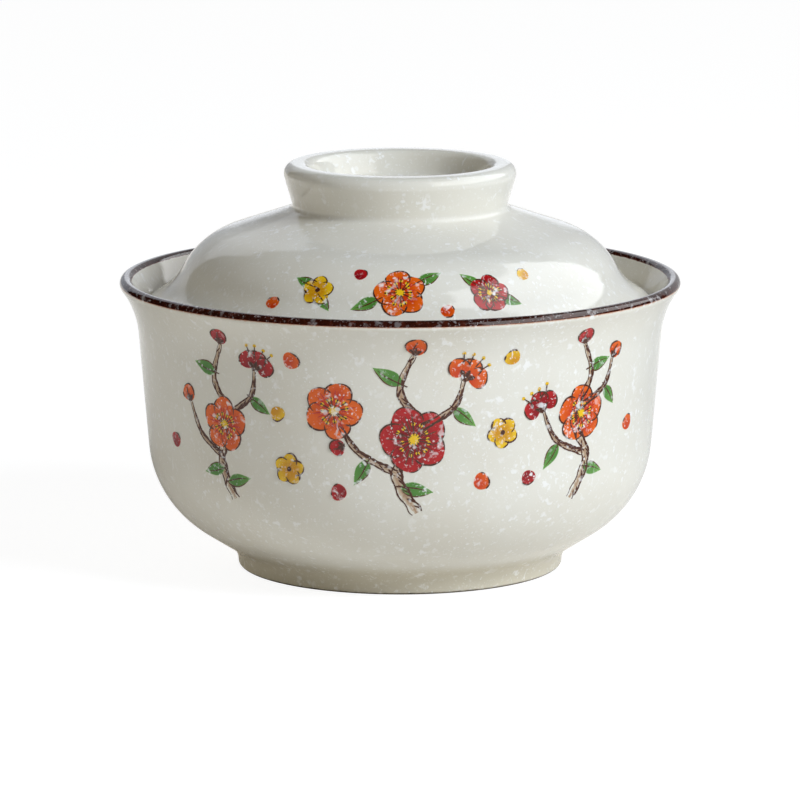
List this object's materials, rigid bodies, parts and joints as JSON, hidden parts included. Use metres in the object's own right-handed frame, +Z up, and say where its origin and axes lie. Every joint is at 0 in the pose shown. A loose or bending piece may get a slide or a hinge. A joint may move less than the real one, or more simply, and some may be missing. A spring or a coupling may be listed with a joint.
{
  "type": "donburi bowl with lid",
  "caption": "Round stoneware rice bowl with a flared iron-glazed lip and a foot ring, and a domed drop-in lid with a hollow ring knob that lifts off.",
  "frame": {"origin": "centre of the foot ring, on the surface that the bowl stands on", "axes": "+Z up along the turning axis; the painted front faces -Y"},
  "size_m": [0.165, 0.165, 0.1195],
  "materials": {
    "snow_glaze": "glossy cream glaze with fine white speckle",
    "iron_glaze": "glossy iron-brown glaze, thin and reddish at its edges"
  },
  "bodies": {
    "bowl": {"bowl_body": "snow_glaze", "bowl_rim_band": "iron_glaze"},
    "lid": {"lid_body": "snow_glaze"}
  },
  "joints": [
    {"name": "lid_lift", "type": "slide", "parent": "bowl", "child": "lid", "axis": [0, 0, 1], "range_m": [0, 0.12]}
  ]
}
